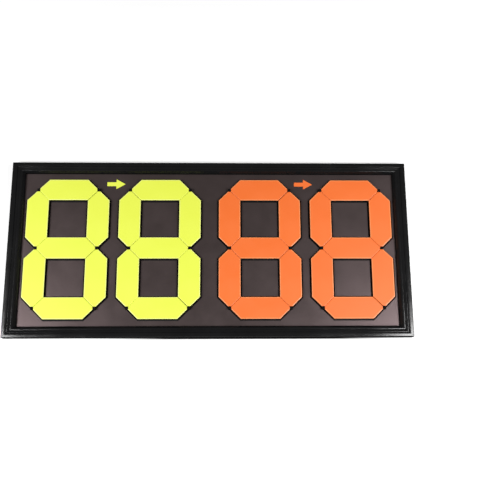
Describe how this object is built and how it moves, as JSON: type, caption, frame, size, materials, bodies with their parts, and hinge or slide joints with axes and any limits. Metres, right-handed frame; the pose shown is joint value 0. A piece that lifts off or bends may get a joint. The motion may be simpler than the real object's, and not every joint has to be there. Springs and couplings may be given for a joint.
{
  "type": "player substitution board",
  "caption": "Hand-held sports number board: a black moulded frame round seven-segment digits made of flaps that turn over to show or hide each segment.",
  "frame": {"origin": "middle of the flat back of the frame, with the board lying face up", "axes": "+X along the long side, to the right seen from the front; +Y towards the edge with the markers; +Z out of the display face"},
  "size_m": [0.84, 0.375, 0.02],
  "materials": {
    "frame_black": "gloss black moulding",
    "sheet_black": "satin dark grey-brown sheet",
    "grid_black": "satin moulded black",
    "flap_yellow": "fluorescent yellow face on a black flap",
    "flap_orange": "fluorescent orange face on a black flap",
    "key_steel": "zinc-plated sheet steel",
    "screw_steel": "dark plated screws"
  },
  "bodies": {
    "board": {"front_sheet": "sheet_black", "rail_top": "frame_black", "rail_bottom": "frame_black", "rail_left": "frame_black", "rail_right": "frame_black", "digit_grid_1": "grid_black", "digit_grid_2": "grid_black", "digit_grid_3": "grid_black", "digit_grid_4": "grid_black", "corner_key_top_left": "key_steel", "corner_key_top_right": "key_steel", "corner_key_bottom_left": "key_steel", "corner_key_bottom_right": "key_steel", "key_screw_top_left_long": "screw_steel", "key_screw_top_left_side": "screw_steel", "key_screw_top_right_long": "screw_steel", "key_screw_top_right_side": "screw_steel", "key_screw_bottom_left_long": "screw_steel", "key_screw_bottom_left_side": "screw_steel", "key_screw_bottom_right_long": "screw_steel", "key_screw_bottom_right_side": "screw_steel", "marker_in": "flap_yellow", "marker_out": "flap_orange"},
    "flap_d1_top": {"flap_d1_top": "flap_yellow"},
    "flap_d1_upper_left": {"flap_d1_upper_left": "flap_yellow"},
    "flap_d1_upper_right": {"flap_d1_upper_right": "flap_yellow"},
    "flap_d1_middle": {"flap_d1_middle": "flap_yellow"},
    "flap_d1_lower_left": {"flap_d1_lower_left": "flap_yellow"},
    "flap_d1_lower_right": {"flap_d1_lower_right": "flap_yellow"},
    "flap_d1_bottom": {"flap_d1_bottom": "flap_yellow"},
    "flap_d2_top": {"flap_d2_top": "flap_yellow"},
    "flap_d2_upper_left": {"flap_d2_upper_left": "flap_yellow"},
    "flap_d2_upper_right": {"flap_d2_upper_right": "flap_yellow"},
    "flap_d2_middle": {"flap_d2_middle": "flap_yellow"},
    "flap_d2_lower_left": {"flap_d2_lower_left": "flap_yellow"},
    "flap_d2_lower_right": {"flap_d2_lower_right": "flap_yellow"},
    "flap_d2_bottom": {"flap_d2_bottom": "flap_yellow"},
    "flap_d3_top": {"flap_d3_top": "flap_orange"},
    "flap_d3_upper_left": {"flap_d3_upper_left": "flap_orange"},
    "flap_d3_upper_right": {"flap_d3_upper_right": "flap_orange"},
    "flap_d3_middle": {"flap_d3_middle": "flap_orange"},
    "flap_d3_lower_left": {"flap_d3_lower_left": "flap_orange"},
    "flap_d3_lower_right": {"flap_d3_lower_right": "flap_orange"},
    "flap_d3_bottom": {"flap_d3_bottom": "flap_orange"},
    "flap_d4_top": {"flap_d4_top": "flap_orange"},
    "flap_d4_upper_left": {"flap_d4_upper_left": "flap_orange"},
    "flap_d4_upper_right": {"flap_d4_upper_right": "flap_orange"},
    "flap_d4_middle": {"flap_d4_middle": "flap_orange"},
    "flap_d4_lower_left": {"flap_d4_lower_left": "flap_orange"},
    "flap_d4_lower_right": {"flap_d4_lower_right": "flap_orange"},
    "flap_d4_bottom": {"flap_d4_bottom": "flap_orange"}
  },
  "joints": [
    {"name": "turn_d1_top", "type": "hinge", "parent": "board", "child": "flap_d1_top", "pos_m": [-0.299, 0.1272, 0.0135], "axis": [1, 0, 0], "range_deg": [0, 180]},
    {"name": "turn_d1_upper_left", "type": "hinge", "parent": "board", "child": "flap_d1_upper_left", "pos_m": [-0.3626, 0.0636, 0.0135], "axis": [0, 1, 0], "range_deg": [0, 180]},
    {"name": "turn_d1_upper_right", "type": "hinge", "parent": "board", "child": "flap_d1_upper_right", "pos_m": [-0.2354, 0.0636, 0.0135], "axis": [0, 1, 0], "range_deg": [0, 180]},
    {"name": "turn_d1_middle", "type": "hinge", "parent": "board", "child": "flap_d1_middle", "pos_m": [-0.299, 0, 0.0135], "axis": [1, 0, 0], "range_deg": [0, 180]},
    {"name": "turn_d1_lower_left", "type": "hinge", "parent": "board", "child": "flap_d1_lower_left", "pos_m": [-0.3626, -0.0636, 0.0135], "axis": [0, 1, 0], "range_deg": [0, 180]},
    {"name": "turn_d1_lower_right", "type": "hinge", "parent": "board", "child": "flap_d1_lower_right", "pos_m": [-0.2354, -0.0636, 0.0135], "axis": [0, 1, 0], "range_deg": [0, 180]},
    {"name": "turn_d1_bottom", "type": "hinge", "parent": "board", "child": "flap_d1_bottom", "pos_m": [-0.299, -0.1272, 0.0135], "axis": [1, 0, 0], "range_deg": [0, 180]},
    {"name": "turn_d2_top", "type": "hinge", "parent": "board", "child": "flap_d2_top", "pos_m": [-0.1055, 0.1272, 0.0135], "axis": [1, 0, 0], "range_deg": [0, 180]},
    {"name": "turn_d2_upper_left", "type": "hinge", "parent": "board", "child": "flap_d2_upper_left", "pos_m": [-0.1691, 0.0636, 0.0135], "axis": [0, 1, 0], "range_deg": [0, 180]},
    {"name": "turn_d2_upper_right", "type": "hinge", "parent": "board", "child": "flap_d2_upper_right", "pos_m": [-0.0419, 0.0636, 0.0135], "axis": [0, 1, 0], "range_deg": [0, 180]},
    {"name": "turn_d2_middle", "type": "hinge", "parent": "board", "child": "flap_d2_middle", "pos_m": [-0.1055, 0, 0.0135], "axis": [1, 0, 0], "range_deg": [0, 180]},
    {"name": "turn_d2_lower_left", "type": "hinge", "parent": "board", "child": "flap_d2_lower_left", "pos_m": [-0.1691, -0.0636, 0.0135], "axis": [0, 1, 0], "range_deg": [0, 180]},
    {"name": "turn_d2_lower_right", "type": "hinge", "parent": "board", "child": "flap_d2_lower_right", "pos_m": [-0.0419, -0.0636, 0.0135], "axis": [0, 1, 0], "range_deg": [0, 180]},
    {"name": "turn_d2_bottom", "type": "hinge", "parent": "board", "child": "flap_d2_bottom", "pos_m": [-0.1055, -0.1272, 0.0135], "axis": [1, 0, 0], "range_deg": [0, 180]},
    {"name": "turn_d3_top", "type": "hinge", "parent": "board", "child": "flap_d3_top", "pos_m": [0.1055, 0.1272, 0.0135], "axis": [1, 0, 0], "range_deg": [0, 180]},
    {"name": "turn_d3_upper_left", "type": "hinge", "parent": "board", "child": "flap_d3_upper_left", "pos_m": [0.0419, 0.0636, 0.0135], "axis": [0, 1, 0], "range_deg": [0, 180]},
    {"name": "turn_d3_upper_right", "type": "hinge", "parent": "board", "child": "flap_d3_upper_right", "pos_m": [0.1691, 0.0636, 0.0135], "axis": [0, 1, 0], "range_deg": [0, 180]},
    {"name": "turn_d3_middle", "type": "hinge", "parent": "board", "child": "flap_d3_middle", "pos_m": [0.1055, 0, 0.0135], "axis": [1, 0, 0], "range_deg": [0, 180]},
    {"name": "turn_d3_lower_left", "type": "hinge", "parent": "board", "child": "flap_d3_lower_left", "pos_m": [0.0419, -0.0636, 0.0135], "axis": [0, 1, 0], "range_deg": [0, 180]},
    {"name": "turn_d3_lower_right", "type": "hinge", "parent": "board", "child": "flap_d3_lower_right", "pos_m": [0.1691, -0.0636, 0.0135], "axis": [0, 1, 0], "range_deg": [0, 180]},
    {"name": "turn_d3_bottom", "type": "hinge", "parent": "board", "child": "flap_d3_bottom", "pos_m": [0.1055, -0.1272, 0.0135], "axis": [1, 0, 0], "range_deg": [0, 180]},
    {"name": "turn_d4_top", "type": "hinge", "parent": "board", "child": "flap_d4_top", "pos_m": [0.299, 0.1272, 0.0135], "axis": [1, 0, 0], "range_deg": [0, 180]},
    {"name": "turn_d4_upper_left", "type": "hinge", "parent": "board", "child": "flap_d4_upper_left", "pos_m": [0.2354, 0.0636, 0.0135], "axis": [0, 1, 0], "range_deg": [0, 180]},
    {"name": "turn_d4_upper_right", "type": "hinge", "parent": "board", "child": "flap_d4_upper_right", "pos_m": [0.3626, 0.0636, 0.0135], "axis": [0, 1, 0], "range_deg": [0, 180]},
    {"name": "turn_d4_middle", "type": "hinge", "parent": "board", "child": "flap_d4_middle", "pos_m": [0.299, 0, 0.0135], "axis": [1, 0, 0], "range_deg": [0, 180]},
    {"name": "turn_d4_lower_left", "type": "hinge", "parent": "board", "child": "flap_d4_lower_left", "pos_m": [0.2354, -0.0636, 0.0135], "axis": [0, 1, 0], "range_deg": [0, 180]},
    {"name": "turn_d4_lower_right", "type": "hinge", "parent": "board", "child": "flap_d4_lower_right", "pos_m": [0.3626, -0.0636, 0.0135], "axis": [0, 1, 0], "range_deg": [0, 180]},
    {"name": "turn_d4_bottom", "type": "hinge", "parent": "board", "child": "flap_d4_bottom", "pos_m": [0.299, -0.1272, 0.0135], "axis": [1, 0, 0], "range_deg": [0, 180]}
  ]
}
